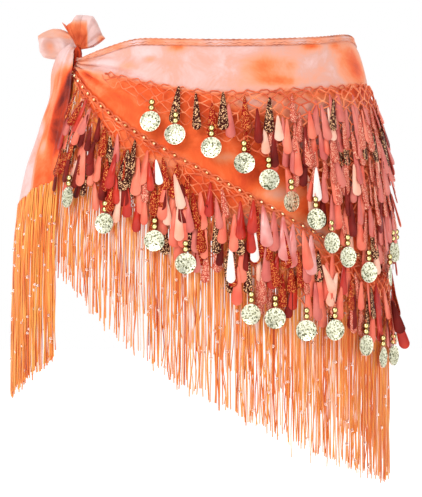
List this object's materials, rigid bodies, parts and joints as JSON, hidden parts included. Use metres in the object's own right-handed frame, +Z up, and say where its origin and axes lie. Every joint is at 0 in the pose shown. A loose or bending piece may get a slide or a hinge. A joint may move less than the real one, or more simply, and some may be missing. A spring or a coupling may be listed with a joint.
{
  "type": "belly dance hip scarf",
  "caption": "Tie-dyed chiffon hip scarf worn round the hips and knotted at one side, with sequined net tiers, hanging coins and a long fringe.",
  "frame": {"origin": "middle of the waist opening, 6 mm above the cloth's upper edge in front, where the wearer's waist holds it", "axes": "+Z up, -Y the wearer's front, -X the side of the knot, which is on the left seen from the front"},
  "size_m": [0.3944, 0.2872, 0.4692],
  "materials": {
    "chiffon": "sheer tie-dyed weave",
    "crochet_trim": "crocheted yarn",
    "sequined_net": "knotted yarn with glossy sequins",
    "fringe_yarn": "lustrous yarn",
    "coin_gold": "polished, stamped"
  },
  "bodies": {
    "root": {"wrap_cloth": "chiffon", "knot": "chiffon", "bow_loop_left": "chiffon", "bow_loop_right": "chiffon", "bow_end": "chiffon", "tail_cloth": "chiffon", "waist_trim": "crochet_trim", "bead_braid": "crochet_trim", "net_upper": "sequined_net", "net_lower": "sequined_net", "fringe_front": "fringe_yarn", "fringe_back": "fringe_yarn", "fringe_tail": "fringe_yarn", "coin_front_01": "coin_gold", "coin_front_02": "coin_gold", "coin_front_03": "coin_gold", "coin_front_04": "coin_gold", "coin_front_05": "coin_gold", "coin_front_06": "coin_gold", "coin_front_07": "coin_gold", "coin_front_08": "coin_gold", "coin_front_09": "coin_gold", "coin_front_10": "coin_gold", "coin_front_11": "coin_gold", "coin_front_12": "coin_gold", "coin_front_13": "coin_gold", "coin_front_14": "coin_gold", "coin_front_15": "coin_gold", "coin_front_16": "coin_gold", "coin_front_17": "coin_gold", "coin_front_18": "coin_gold", "coin_front_19": "coin_gold", "coin_front_20": "coin_gold", "coin_front_21": "coin_gold", "coin_front_22": "coin_gold", "coin_front_23": "coin_gold", "coin_back_01": "coin_gold", "coin_back_02": "coin_gold", "coin_back_03": "coin_gold", "coin_back_04": "coin_gold", "coin_back_05": "coin_gold", "coin_back_06": "coin_gold", "coin_back_07": "coin_gold", "coin_back_08": "coin_gold", "coin_back_09": "coin_gold", "coin_back_10": "coin_gold", "coin_back_11": "coin_gold", "coin_back_12": "coin_gold", "coin_back_13": "coin_gold", "coin_back_14": "coin_gold", "coin_back_15": "coin_gold", "coin_back_16": "coin_gold"}
  },
  "joints": []
}
